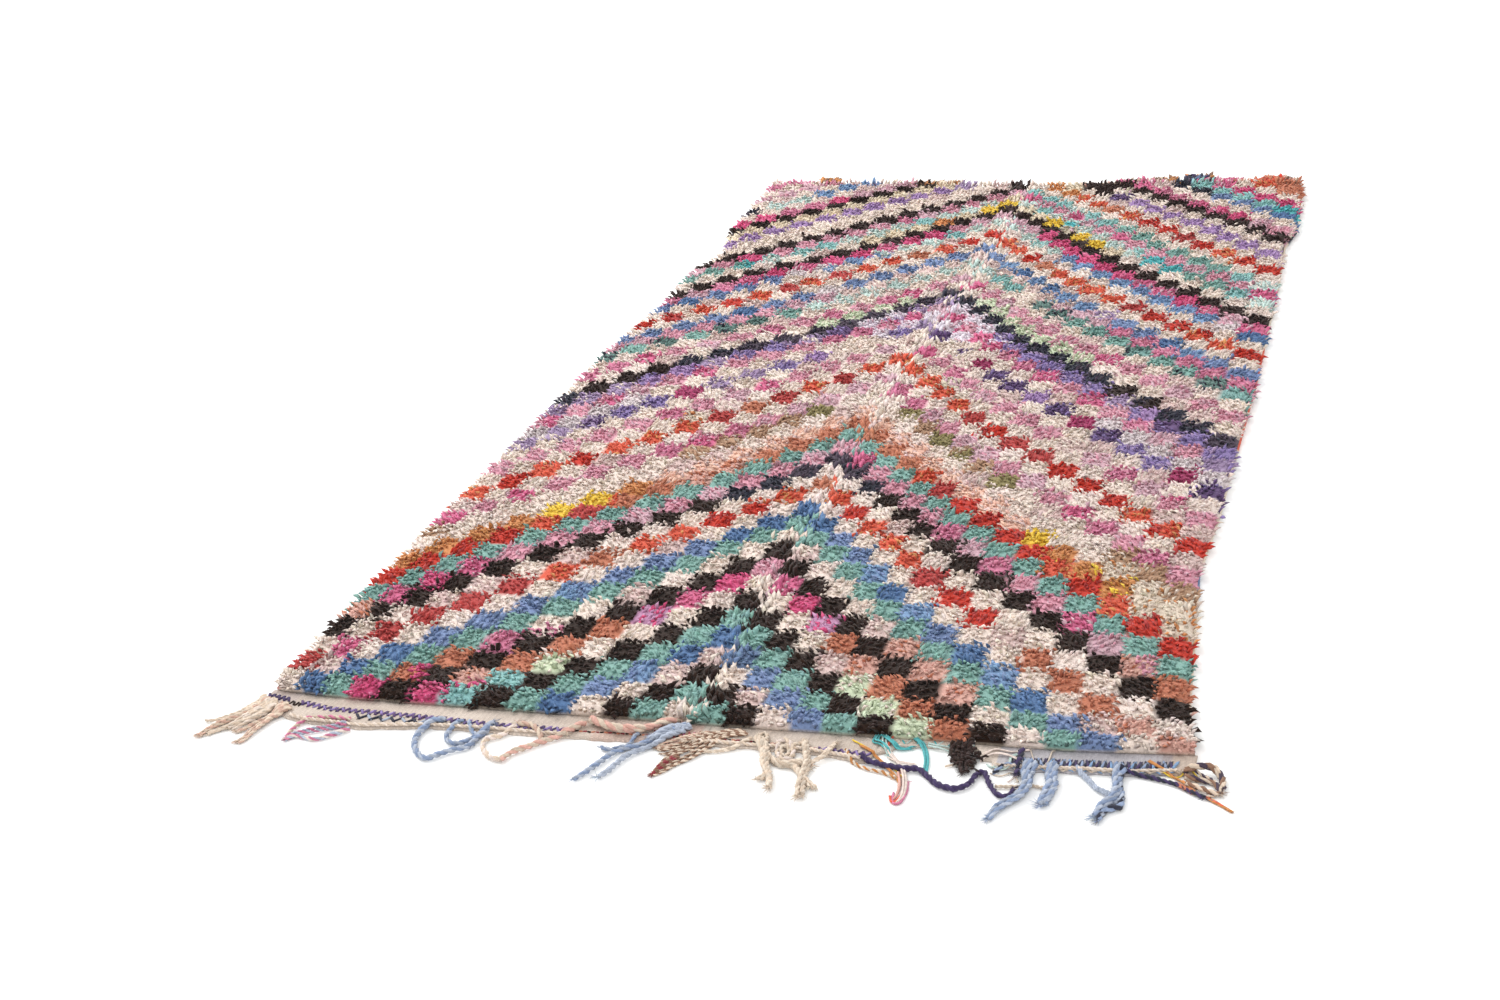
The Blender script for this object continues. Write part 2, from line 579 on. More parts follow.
LOOSE_THREADS = (
    # yarns of the plies; width at the hem, at the tip; copies; apart at the hem, at the tip; x, y; in mm
    ("amber", 2.5, 2, 2, 5, 3, ((223, -1343), (246, -1361), (266, -1386), (281, -1404), (293, -1423))),
    ("yellow", 2.5, 2, 1, 0, 0, ((209, -1331), (231, -1346), (260, -1373), (280, -1391), (292, -1404))),
    ("tomato", 3, 3, 1, 0, 0, ((260, -1315), (259, -1327), (259, -1341))),
    ("tomato", 3, 3, 1, 0, 0, ((284, -1383), (298, -1415), (301, -1445), (294, -1468), (287, -1454))),
    ("ivory", 3, 3, 2, 6, 4, (
        (254, -1335), (272, -1364), (289, -1390), (300, -1422), (303, -1451), (299, -1468),
    )),
    ("rose", 3, 3, 1, 0, 0, ((290, -1445), (294, -1468), (303, -1467), (306, -1441), (302, -1418))),
    ("coral_pink", 4, 3, 1, 0, 0, ((285, -1397), (293, -1423), (295, -1449), (292, -1463))),
    ("turquoise", 3, 2.5, 3, 12, 6, ((240, -1312), (240, -1330), (251, -1336), (268, -1358))),
    ("mint", 3, 2.5, 2, 8, 6, ((247, -1304), (252, -1332), (263, -1353))),
    ("turquoise", 3, 2.5, 3, 9, 9, ((243, -1308), (257, -1324), (274, -1339), (289, -1333))),
    ("turquoise", 3, 2.5, 3, 7, 7, ((291, -1316), (306, -1335), (316, -1365), (320, -1391))),
    ("mint", 3, 2.5, 2, 6, 6, ((310, -1327), (323, -1332), (339, -1331))),
    ("ivory", 2.5, 2, 2, 8, 6, ((264, -1359), (281, -1372), (301, -1373))),
    ("rope", 3, 3, 1, 0, 0, ((341, -1373), (362, -1360), (376, -1357))),
    ("navy ivory", 4, 4, 1, 0, 0, (
        (349, -1298), (357, -1292), (367, -1303), (368, -1319), (360, -1325), (351, -1317), (349, -1298),
    )),
    ("ivory", 2, 2, 2, 8, 6, (
        (385, -1352), (401, -1340), (419, -1343), (438, -1358), (436, -1382), (429, -1396),
    )),
    ("mint", 2, 2, 2, 8, 6, ((394, -1361), (410, -1372), (423, -1367), (423, -1346), (434, -1334))),
    ("ivory", 2, 2, 2, 6, 6, ((387, -1341), (399, -1329), (421, -1333), (441, -1323))),
    ("ecru", 2, 2, 1, 0, 0, ((401, -1380), (416, -1385), (428, -1376), (440, -1395))),
    ("ecru", 2, 2, 1, 0, 0, ((444, -1323), (452, -1347), (462, -1365), (470, -1350), (472, -1322))),
    ("amber", 3, 2, 2, 5, 3, (
        (596, -1330), (619, -1349), (641, -1367), (660, -1390), (682, -1406), (706, -1427),
    )),
    ("yellow", 2.5, 2, 1, 0, 0, ((612, -1350), (633, -1358), (648, -1344), (667, -1361))),
    ("orange", 3.5, 2.5, 1, 0, 0, ((642, -1366), (663, -1392), (684, -1405), (703, -1424))),
    ("tomato", 3, 2.5, 1, 0, 0, ((651, -1387), (670, -1397), (691, -1413), (699, -1418))),
    ("denim", 3, 2.5, 1, 0, 0, ((660, -1394), (677, -1403), (691, -1411))),
    ("coral", 6, 5, 1, 0, 0, ((636, -1376), (646, -1384), (657, -1390))),
)
YARN_FULLNESS = 1.22
PLY_STEP = 0.0024
PLY_PITCH = 2.2
PLY_RADIUS = {1: 0.46, 2: 0.31, 3: 0.27}
ROLLED_STEP = 0.012
ROLLED_INSET = 0.0030
ROLLED_WIDTHS = (0.0062, 0.0058)
ROLLED_RUNS = ((-0.60, -0.17), (-0.02, 0.235), (0.405, 0.64))
HAIR_SPACING = 0.0010
HAIR_LENGTH = 0.0054
HAIR_RADIUS = 0.045
HAIR_CLEARANCE = 0.0004
YARN_CLEARANCE = 0.0003
COPY_LIFT = 0.0035
FRAY_LENGTH = 0.0120
FRAY_HAIRS = 14

# Far hem and its tufts
FAR_HEM_LEFT = -0.640
FAR_HEM_RIGHT = 0.642
FAR_HEM_WIDTH = 0.034
FAR_HEM_THICKNESS = 0.0042
FAR_HEM_STEP = 0.005
FAR_TUFTS = (
    # x first, last; y past the edge, first, last; lean outward, height; locks; yarns
    (-0.640, -0.540, 0.000, 0.014, 0.014, 0.022, 60, "rose coral_pink pink"),
    (-0.530, -0.478, 0.004, 0.034, 0.020, 0.026, 70, "orange rope_brown amber"),
    (-0.478, -0.290, 0.000, 0.012, 0.014, 0.020, 70, "pink rope rose"),
    (-0.290, -0.165, 0.004, 0.026, 0.014, 0.021, 130, "orange rope_brown rope amber"),
    (0.120, 0.216, 0.000, 0.014, 0.012, 0.020, 50, "rope coral_pink rope"),
    (0.216, 0.330, 0.002, 0.026, 0.012, 0.023, 110, "rope_pink rope_brown rose rope"),
    (0.334, 0.358, 0.008, 0.040, 0.028, 0.026, 34, "orange amber rope_brown"),
    (0.368, 0.420, 0.004, 0.048, 0.030, 0.028, 110, "navy denim navy grape"),
    (0.384, 0.428, 0.044, 0.054, 0.024, 0.026, 16, "rope_brown orange"),
    (0.445, 0.510, 0.002, 0.026, 0.010, 0.022, 70, "pink hot_pink rope_pink"),
    (0.542, 0.600, 0.002, 0.036, 0.020, 0.026, 100, "tomato red coral"),
    (0.596, 0.636, 0.002, 0.030, 0.018, 0.024, 60, "rope rope_brown coral_pink"),
)
TORN_TUFT = (
    # x first, last; y past the edge, first, last; lean outward, height; locks; yarns
    (0.346, 0.384, -0.036, 0.008, 0.030, 0.015, 70, "black brown_black black"),
)
TUFT_ROOT = 0.004

# Overcast sides
SIDE_CORD = 0.0032
SIDE_ENDS = (-1.300, 1.285)
WRAP_STEP = 0.0032
WRAP_SIDES = 5
SIDE_WRAPS = (
    # y, yarn of the right side's wrapping from there on
    (-1.33, "violet"),
    (-1.29, "rope"),
    (-0.86, "denim"),
    (-0.78, "ecru"),
    (-0.30, "tomato"),
    (0.20, "ecru"),
    (0.42, "denim"),
    (0.52, "rope"),
    (0.86, "navy"),
    (0.94, "ecru"),
    (1.12, "orange"),
    (1.25, "rope"),
)


# Studio
WHITE = "F4F4F3"
FLOOR_SIZE = 14
FLOOR_DROP = 0.0002
SURROUND = 1.12
LIGHTS = (
    # name, energy, size, place, aim
    ("window light", 240, 3.2, (-3.4, 1.6, 3.6), (0, 0, 0)),
    ("front fill", 50, 3.0, (1.5, -4.6, 3.2), (0, -0.6, 0)),
)
SENSOR = 36
LENS = 51.15
CAMERA_PLACE = (0.885, -3.689, 1.427)
CAMERA_AHEAD = (-0.2906, 0.8701, -0.398)
CAMERA_RIGHT = (0.9561, 0.2805, -0.0848)


def linear(hex_colour):
    """An sRGB hex colour as linear red, green and blue."""
    values = np.array([int(hex_colour[place : place + 2], 16) / 255 for place in (0, 2, 4)])
    return np.where(values <= 0.04045, values / 12.92, ((values + 0.055) / 1.055) ** 2.4)


YARN_COLOURS = {name: linear(colour) for name, colour in YARNS.items()}


def along(table, where):
    """The values that a short table of two columns gives at these places, straight between its rows."""
    places, values = np.array(table).T
    return np.interp(where, places, values)


def column_offset(column):
    """How far a place counted in columns lies from the middle line, before fitting to the edges."""
    count = np.abs(column)
    narrow = np.minimum(count, NARROW_COLUMNS)
    offset = NARROW_COLUMN * narrow + WIDE_COLUMN * (count - narrow)
    return np.copysign(offset, column)


def field_point(column, row):
    """Plan position of places counted in columns and rows: column 0 is the middle of the middle column."""
    column, row = np.asarray(column, float), np.asarray(row, float)
    y = along(ROW_MARKS, row - 0.5)
    middle = along(MIDDLE_LINE, y)
    left = along(LEFT_EDGE, y) + LOCK_REACH
    right = along(RIGHT_EDGE, y) - LOCK_REACH
    leftward = (left - middle) * column_offset(column) / column_offset(-COLUMNS_LEFT - 0.5)
    rightward = (right - middle) * column_offset(column) / column_offset(COLUMNS_RIGHT + 0.5)
    x = middle + np.where(column < 0, leftward, rightward)
    share = row / ROWS
    near_shift = along(NEAR_EDGE, x) - along(ROW_MARKS, -0.5)
    far_shift = along(FAR_EDGE, x) - LOCK_REACH - along(ROW_MARKS, ROWS - 0.5)
    return x, y + near_shift * np.maximum(0, 1 - 8 * share) + far_shift * np.maximum(0, 8 * share - 7)


def drift(column, row):
    """How far the knot counted at a column and row wanders, in columns and rows."""
    columns, rows = np.array(DRIFT_COLUMNS), np.array(DRIFT_ROWS)
    column, row = np.clip(column, columns[0], columns[-1]), np.clip(row, rows[0], rows[-1])
    left = np.clip(np.searchsorted(columns, column, "right") - 1, 0, len(columns) - 2)
    below = np.clip(np.searchsorted(rows, row, "right") - 1, 0, len(rows) - 2)
    u = (column - columns[left]) / (columns[left + 1] - columns[left])
    v = (row - rows[below]) / (rows[below + 1] - rows[below])
    for table in (np.array(DRIFT_ACROSS), np.array(DRIFT_LENGTHWISE)):
        lower = table[below, left] * (1 - u) + table[below, left + 1] * u
        upper = table[below + 1, left] * (1 - u) + table[below + 1, left + 1] * u
        yield lower * (1 - v) + upper * v


def bed_height(column, row):
    """How high the matted bed of knots stands: a mound in each block, and a parting by the middle column."""
    across = 1 - np.abs(2 * (column - np.round(column))) ** 3
    lengthwise = 1 - np.abs(2 * (row - np.floor(row) - 0.5)) ** 3
    mound = BED_VALLEY + (BED_TOP - BED_VALLEY) * across * lengthwise
    return mound - CREASE_DEPTH * np.exp(-(((column - CREASE_COLUMN) / 0.3) ** 2))


def run_of_yarns(text):
    """A band's yarns block by block."""
    names = []
    for part in text.split():
        name, _, count = part.partition("*")
        names += [name] * int(count or 1)
    return names


def block_yarns(chance):
    """Each block's yarn, and a second yarn that patches a part of some blocks."""
    chart = {}
    for row in range(-1, ROWS + 1):
        for column in range(-COLUMNS_LEFT - 1, COLUMNS_RIGHT + 2):
            right = column > 0
            band = max(row, 0) + abs(column)
            yarns = run_of_yarns(BANDS[min(band, len(BANDS) - 1)][right])
            place = abs(column) - max(int(right), band - ROWS + 1)
            first = yarns[int(np.clip(place, 0, len(yarns) - 1))]
            beside = yarns[int(np.clip(place + chance.choice((-1, 1)), 0, len(yarns) - 1))]
            first = chance.choice(BUNDLES.get(first, first).split())
            chart[column, row] = first, beside if chance.random() < SECOND_YARN_CHANCE else first
    return chart


def node(tree, kind, inputs=(), **settings):
    """Adds a node, makes its settings and links or fills its inputs."""
    made = tree.nodes.new(kind)
    for name, value in settings.items():
        setattr(made, name, value)
    for name, value in dict(inputs).items():
        if isinstance(value, bpy.types.NodeSocket):
            tree.links.new(value, made.inputs[name])
        else:
            made.inputs[name].default_value = value
    return made


def dressed(name, shader_values, colour_and_height):
    """A material whose nodes are drawn by colour_and_height, which returns colour, height and depth."""
    made = bpy.data.materials.new(name)
    made.use_nodes = True
    tree = made.node_tree
    shader = tree.nodes["Principled BSDF"]
    for socket, value in shader_values.items():
        shader.inputs[socket].default_value = value
    colour, height, depth = colour_and_height(tree)
    tree.links.new(colour, shader.inputs["Base Color"])
    bump = node(tree, "ShaderNodeBump", {"Height": height, "Distance": depth, "Strength": 1.0})
    tree.links.new(bump.outputs["Normal"], shader.inputs["Normal"])
    return made


def yarn_attribute(tree):
    """The yarn colour kept at each corner."""
    return node(tree, "ShaderNodeAttribute", attribute_name="yarn").outputs["Color"]


def noise_at(tree, size, detail=2.0):
    """Noise whose grains are this many metres across."""
    place = node(tree, "ShaderNodeTexCoord").outputs["Object"]
    values = {"Vector": place, "Scale": 1 / size, "Detail": detail}
    return node(tree, "ShaderNodeTexNoise", values).outputs["Fac"]


def shaded(tree, colour, amount, low, high):
    """The colour made darker and lighter between low and high as amount goes from 0.3 to 0.7."""
    span = {"Value": amount, "From Min": 0.3, "From Max": 0.7, "To Min": low, "To Max": high}
    strength = node(tree, "ShaderNodeMapRange", span).outputs["Result"]
    grey = node(tree, "ShaderNodeCombineColor", {"Red": strength, "Green": strength, "Blue": strength})
    mix = node(
        tree,
        "ShaderNodeMix",
        {"Factor": 1.0, "A": colour, "B": grey.outputs["Color"]},
        data_type="RGBA",
        blend_type="MULTIPLY",
    )
    return mix.outputs["Result"]


def rag_pile_look(tree):
    """Worn patches three centimetres wide, and the crinkles of torn jersey."""
    colour = yarn_attribute(tree)
    patches = noise_at(tree, 0.030)
    crinkles = noise_at(tree, 0.0032, 3.0)
    worn = shaded(tree, colour, patches, 0.92, 1.06)
    return shaded(tree, worn, crinkles, 0.84, 1.10), crinkles, 0.0022


def matted_bed_look(tree):
    """Small matted tufts."""
    colour = yarn_attribute(tree)
    tufts = noise_at(tree, 0.0040, 3.0)
    return shaded(tree, colour, tufts, 0.80, 1.06), tufts, 0.0025


def ridges(tree, direction, scale, distortion, detail_scale):
    """Wavy ridges that follow one another along a direction."""
    values = {
        "Vector": node(tree, "ShaderNodeTexCoord").outputs["Object"],
        "Scale": scale,
        "Distortion": distortion,
        "Detail": 1.0,
        "Detail Scale": detail_scale,
    }
    wave = node(tree, "ShaderNodeTexWave", values, wave_type="BANDS", bands_direction=direction)
    return wave.outputs["Fac"]


def flat_weave_look(tree):
    """Warps under wefts, with the grain of undyed cotton."""
    warp = ridges(tree, "X", 42.0, 1.2, 3.0)
    weft = ridges(tree, "Y", 90.0, 1.6, 2.0)
    weave = node(tree, "ShaderNodeMath", {0: warp, 1: weft}, operation="MULTIPLY").outputs["Value"]
    grains = noise_at(tree, 0.0016, 3.0)
    toned = shaded(tree, yarn_attribute(tree), grains, 0.82, 1.10)
    return shaded(tree, toned, weave, 0.80, 1.06), weave, 0.0010


def plied_yarn_look(tree):
    """Thick and thin places, and fine fibres."""
    colour = yarn_attribute(tree)
    fibres = noise_at(tree, 0.0009, 3.0)
    slubs = noise_at(tree, 0.006)
    toned = shaded(tree, colour, slubs, 0.84, 1.10)
    return shaded(tree, toned, fibres, 0.78, 1.14), fibres, 0.0005


def floor_look(tree):
    """An even white with the faintest grain."""
    grains = noise_at(tree, 0.004)
    white = node(tree, "ShaderNodeRGB").outputs["Color"]
    white.default_value = (*linear(WHITE), 1)
    return white, grains, 0.00002


COTTON = {"Roughness": 0.92, "Specular IOR Level": 0.12, "Sheen Weight": 0.10, "Sheen Roughness": 0.55}
# Torn strips of jersey and plain cotton: matt and fuzzy, so light catches along each lock's back
rag_pile = dressed("knotted cotton rag pile", COTTON, rag_pile_look)
# The knots' own loops under the pile: the same rags, matted and in shade
matted_bed = dressed("matted knots of cotton rag", COTTON, matted_bed_look)
# Weft-faced plain weave of thick undyed cotton: fine ridges over hidden warps
flat_weave = dressed("weft-faced cotton flat weave", COTTON, flat_weave_look)
# Hand-spun yarn of two plies: short hairs and slubs along each ply
plied_yarn = dressed("hand-spun plied yarn", COTTON, plied_yarn_look)
# Matt white paper sweep
paper = dressed("matt white paper floor", {"Roughness": 0.9, "Specular IOR Level": 0.2}, floor_look)


def piece_from(name, corners, faces, colours, material, map_cells=None):
    """One object of these corners and faces, with each corner's yarn colour kept as an attribute."""
    mesh = bpy.data.meshes.new(name)
    mesh.from_pydata(corners.tolist(), [], faces)
    mesh.polygons.foreach_set("use_smooth", np.ones(len(mesh.polygons), bool))
    colour_layer = mesh.color_attributes.new("yarn", "FLOAT_COLOR", "POINT")
    rgba = np.concatenate([colours, np.ones((len(colours), 1))], 1).astype(np.float32)
    colour_layer.data.foreach_set("color", rgba.ravel())
    if map_cells is not None:
        mesh.uv_layers.new(name="OFBake").data.foreach_set("uv", map_cells.astype(np.float32).ravel())
    mesh.materials.append(material)
    made = bpy.data.objects.new(name, mesh)
    bpy.context.scene.collection.objects.link(made)
    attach(made, "root")
    return made


def shape_arrays(shape):
    """A small closed shape's corners and triangles. The bmesh is used up."""
    bmesh.ops.triangulate(shape, faces=shape.faces)
    bmesh.ops.recalc_face_normals(shape, faces=shape.faces)
    shape.verts.index_update()
    corners = np.array([corner.co[:] for corner in shape.verts])
    triangles = np.array([[corner.index for corner in face.verts] for face in shape.faces])
    shape.free()
    return corners, triangles


def rag_lock(lean, curl, sway, belly):
    """The cut end of a rag, three-sided and one unit long, that leans and then curls over towards +X."""
    lock = bmesh.new()
    girth = LOCK_GIRTH / LOCK_LENGTH
    bmesh.ops.create_cone(lock, cap_ends=True, segments=3, radius1=girth * 0.8, radius2=girth, depth=belly)
    bmesh.ops.translate(lock, verts=lock.verts, vec=(0, 0, belly / 2))
    bmesh.ops.scale(lock, verts=lock.verts, vec=(LOCK_FLATTER, LOCK_WIDER, 1))
    bmesh.ops.rotate(lock, verts=lock.verts, cent=(0, 0, 0), matrix=Matrix.Rotation(lean, 3, "Y"))
    heading = lean + curl
    ahead = Vector((math.sin(heading), sway, math.cos(heading)))
    top = max(lock.faces, key=lambda face: face.normal.dot(ahead))
    bmesh.ops.rotate(
        lock, verts=top.verts[:], cent=top.calc_center_median(), matrix=Matrix.Rotation(curl * 0.6, 3, "Y")
    )
    tip = bmesh.ops.poke(lock, faces=[top])["verts"][0]
    tip.co += ahead * (1 - belly)
    return shape_arrays(lock)


def lock_shapes(chance):
    """Several rag locks that share one set of triangles."""
    shapes = []
    for _ in range(LOCK_SHAPES):
        lean = math.radians(chance.uniform(*LOCK_LEAN))
        curl = math.radians(chance.uniform(*LOCK_CURL))
        corners, triangles = rag_lock(lean, curl, chance.uniform(*LOCK_SWAY), chance.uniform(*LOCK_BELLY))
        shapes.append(corners)
    return np.array(shapes), triangles


def turned(heading, tip_over, roll, size):
    """Matrices that size a shape, roll it, tip it over towards +X and turn it to its heading."""
    zero, one = np.zeros_like(heading), np.ones_like(heading)

    def matrix(*rows):
        return np.stack([np.stack(row, -1) for row in rows], -2)

    c, s = np.cos(heading), np.sin(heading)
    about_z = matrix((c, -s, zero), (s, c, zero), (zero, zero, one))
    c, s = np.cos(tip_over), np.sin(tip_over)
    over = matrix((c, zero, s), (zero, one, zero), (-s, zero, c))
    c, s = np.cos(roll), np.sin(roll)
    about_stem = matrix((one, zero, zero), (zero, c, -s), (zero, s, c))
    return about_z @ over @ about_stem * size[:, None, None]


def planted(shapes, triangles, kinds, roots, frames, colours, tones):
    """Corners, faces and corner colours of many copies. tones darkens or lightens each corner of a shape."""
    corners = np.einsum("nij,nvj->nvi", frames, shapes[kinds]) + roots[:, None]
    each = shapes.shape[1]
    faces = triangles[None] + each * np.arange(len(kinds))[:, None, None]
    toned = np.clip(colours[:, None] * tones[None, :, None], 0, 1)
    return corners.reshape(-1, 3), faces.reshape(-1, 3), toned.reshape(-1, 3)


def map_of_copies(count, triangles_each):
    """Map places of all triangles: a cell for each copy, and a part of it for each triangle."""
    cells = math.ceil(math.sqrt(count))
    parts = math.ceil(math.sqrt(triangles_each))
    copy = np.arange(count)
    cell = np.stack([copy % cells, copy // cells], -1) / cells
    part = np.arange(triangles_each)
    inner = np.stack([part % parts, part // parts], -1) / parts
    corner = np.array([(0.08, 0.08), (0.92, 0.08), (0.08, 0.92)]) / parts
    places = cell[:, None, None] + (inner[None, :, None] + corner[None, None]) / cells
    return places.reshape(-1, 2)


def strewn(colours, chance, spread=0.07):
    """Yarn colours made a little lighter or darker and a little warmer or cooler, lock by lock."""
    light = np.exp(chance.normal(0, spread, (len(colours), 1)))
    cast = np.exp(chance.normal(0, spread * 0.25, colours.shape))
    return colours * light * cast


def lock_roots(chart, rows, chance):
    """Where each lock of these rows is knotted, its yarn's colour and how its block's pile lies."""
    found = []
    for row in rows:
        for column in range(-COLUMNS_LEFT - 1, COLUMNS_RIGHT + 2):
            across = LOCKS_WIDE if abs(column) > NARROW_COLUMNS else LOCKS_NARROW
            first, second = chart[column, row]
            lie = chance.choice(PILE_HEADINGS) * math.pi + chance.normal(0, 0.35)
            patch_at, patch_turn = chance.uniform(-0.1, 0.3), chance.uniform(0, 2 * math.pi)
            slip_across, slip_lengthwise = chance.normal(0, BLOCK_SLIP, 2)
            spread_across, spread_lengthwise = chance.uniform(*BLOCK_SPREAD, 2)
            for index, along_row in enumerate(KNOT_ROWS):
                u = (np.arange(across) + 0.5 + (KNOT_STAGGER if index % 2 else -KNOT_STAGGER)) / across - 0.5
                u = u + chance.normal(0, 0.16 / across, across)
                v = along_row - 0.5 + chance.normal(0, 0.018, across)
                patched = u * math.cos(patch_turn) + v * math.sin(patch_turn) > patch_at
                names = np.where(patched, second, first)
                for place in range(across):
                    name = names[place]
                    other, share = MIXED.get(name, (name, 0))
                    name = other if chance.random() < share else name
                    knot_column = column + slip_across + u[place] * spread_across
                    knot_row = row + 0.5 + slip_lengthwise + v[place] * spread_lengthwise
                    found.append((knot_column, knot_row, lie, *YARN_COLOURS[name]))
    return np.array(found)


def pile_piece(number, chart, shapes, triangles):
    """A fifth of the pile: every lock as a small closed shape."""
    chance = np.random.default_rng(SEEDS["pile"] + number)
    per_piece = ROWS // PILE_PIECES
    first = number * per_piece - (number == 0)
    last = (number + 1) * per_piece + (number == PILE_PIECES - 1)
    roots = lock_roots(chart, range(first, last), chance)
    z = bed_height(roots[:, 0], roots[:, 1]) - LOCK_DEPTH
    across, lengthwise = drift(roots[:, 0], roots[:, 1])
    column, row, lie = roots[:, 0] + across, roots[:, 1] + lengthwise, roots[:, 2]
    inside = (column > -COLUMNS_LEFT - 0.5) & (column < COLUMNS_RIGHT + 0.5) & (row > 0) & (row < ROWS)
    roots, z, column, row, lie = roots[inside], z[inside], column[inside], row[inside], lie[inside]
    count = len(roots)
    x, y = field_point(column, row)

    heading = lie + chance.normal(0, 0.65, count)
    tip_over = chance.normal(0, math.radians(12), count)
    size = LOCK_LENGTH * np.exp(chance.normal(0, 0.12, count))
    combed = np.exp(-(((roots[:, 0] - CREASE_COLUMN) / COMBED_WIDTH) ** 2)) > chance.random(count)
    heading = np.where(combed, math.pi / 2 + chance.normal(0, 0.25, count), heading)
    size = np.where(combed, size * COMBED_LENGTH, size)
    tip_over = np.where(combed, tip_over - 0.25, tip_over)

    # Locks at the rims lean outward, and those at the far rim stand up and over the hem
    left_rim = np.clip(1 - (column + COLUMNS_LEFT + 0.5) / RIM_COLUMNS, 0, 1)
    right_rim = np.clip(1 - (COLUMNS_RIGHT + 0.5 - column) / RIM_COLUMNS, 0, 1)
    near_rim = np.clip(1 - row / RIM_ROWS, 0, 1)
    far_rim = np.clip(1 - (ROWS - row) / RIM_ROWS, 0, 1)
    rim = np.maximum.reduce([left_rim, right_rim, near_rim, far_rim])
    pull_x = np.cos(heading) + RIM_PULL * (right_rim - left_rim)
    pull_y = np.sin(heading) + RIM_PULL * (far_rim - near_rim)
    heading = np.arctan2(pull_y, pull_x)
    set_back = LOCK_SET_BACK * size * (1 - rim)
    x = x - set_back * np.cos(heading)
    y = y - set_back * np.sin(heading)
    z = z - RIM_DROP * rim + FAR_RIM_LIFT * far_rim
    y = y + FAR_RIM_OUT * far_rim
    tip_over = tip_over + 0.10 * rim

    kinds = chance.integers(0, len(shapes), count)
    frames = turned(heading, tip_over, chance.normal(0, 0.35, count), size)
    tones = along(LOCK_TONES, np.linalg.norm(shapes[0], axis=1))
    colours = strewn(roots[:, 3:], chance)
    places = np.stack([x, y, z], -1)
    corners, faces, toned = planted(shapes, triangles, kinds, places, frames, colours, tones)
    corners[:, 2] = np.clip(corners[:, 2], LOCK_CLEARANCE, LOCK_TOP)
    cells = map_of_copies(count, len(triangles))
    return piece_from(f"rag_pile_{number + 1}", corners, faces.tolist(), toned, rag_pile, cells)


def ground_cloth(chart):
    """The ground weave with its matted knots: a thin closed slab, mounded in each block."""
    columns = (COLUMNS_LEFT + COLUMNS_RIGHT + 1) * BED_STEPS
    rows = ROWS * BED_STEPS
    slab = bmesh.new()
    bmesh.ops.create_grid(slab, x_segments=columns, y_segments=rows, size=0.5)
    grid = np.array([corner.co[:] for corner in slab.verts])
    column = (grid[:, 0] + 0.5) * (columns / BED_STEPS) - COLUMNS_LEFT - 0.5
    row = (grid[:, 1] + 0.5) * ROWS
    x, y = field_point(column, row)
    across, lengthwise = drift(column, row)
    column, row = column - across, row - lengthwise
    z = bed_height(column, row)
    for corner, place_x, place_y, height in zip(slab.verts, x, y, z):
        corner.co = (place_x, place_y, BED_RIM if corner.is_boundary else height)
    rim = [edge for edge in slab.edges if edge.is_boundary]
    wall = bmesh.ops.extrude_edge_only(slab, edges=rim)["geom"]
    for corner in wall:
        if isinstance(corner, bmesh.types.BMVert):
            corner.co.z = 0
    floor_rim = [edge for edge in wall if isinstance(edge, bmesh.types.BMEdge) and edge.is_boundary]
    bmesh.ops.contextual_create(slab, geom=floor_rim)
    bmesh.ops.recalc_face_normals(slab, faces=slab.faces)
    slab.verts.index_update()
    corners = np.array([corner.co[:] for corner in slab.verts])
    faces = [[corner.index for corner in face.verts] for face in slab.faces]
    slab.free()
    blocks = zip(np.round(column).astype(int).tolist(), np.floor(row).astype(int).tolist())
    colours = np.array([YARN_COLOURS[chart[block][0]] for block in blocks])
    colours = np.concatenate([colours, np.tile(YARN_COLOURS["ecru"], (len(corners) - len(grid), 1))])
    return piece_from("ground_cloth", corners, faces, colours, matted_bed)


def hem_strip(name, stations, back, front, thick, colours):
    """A flat-woven strip from its back edge to its front edge, closed all round."""
    strip = bmesh.new()
    bmesh.ops.create_grid(strip, x_segments=len(stations) - 1, y_segments=HEM_ROWS, size=0.5)
    chance = np.random.default_rng(len(stations))
    for corner in strip.verts:
        index = round((corner.co.x + 0.5) * (len(stations) - 1))
        depth = 0.5 - corner.co.y
        lumps = math.sin(stations[index] * 190) * math.sin(stations[index] * 83 + 5 * depth)
        ripple = thick * (1 + 0.22 * lumps * depth + chance.uniform(-0.09, 0.09))
        height = ripple if 0.02 < depth < 0.98 else thick * 0.7
        y = back[index] + (front[index] - back[index] - HEM_LUMPS * lumps) * depth
        corner.co = (stations[index], y, height)
    lower = bmesh.ops.extrude_face_region(strip, geom=strip.faces[:])["geom"]
    for corner in lower:
        if isinstance(corner, bmesh.types.BMVert):
            corner.co.z = 0
    bmesh.ops.recalc_face_normals(strip, faces=strip.faces)
    strip.verts.index_update()
    corners = np.array([corner.co[:] for corner in strip.verts])
    faces = [[corner.index for corner in face.verts] for face in strip.faces]
    strip.free()
    return piece_from(name, corners, faces, colours(corners), flat_weave)


def near_hem_colours(corners):
    """Undyed cotton, greyer and pinker by turns, with the coloured wefts of the mended places."""
    x, y = corners[:, 0], corners[:, 1]
    sway = 0.5 + 0.3 * np.sin(x * 17 + y * 60) + 0.2 * np.sin(x * 71 - y * 240)
    colours = YARN_COLOURS["hem_cream"] * sway[:, None] + YARN_COLOURS["hem_grey"] * (1 - sway[:, None])
    for first, last, yarn, amount in MENDED_PLACES:
        inside = ((x > first) & (x < last))[:, None] * amount
        colours = colours * (1 - inside) + YARN_COLOURS[yarn] * inside
    return colours


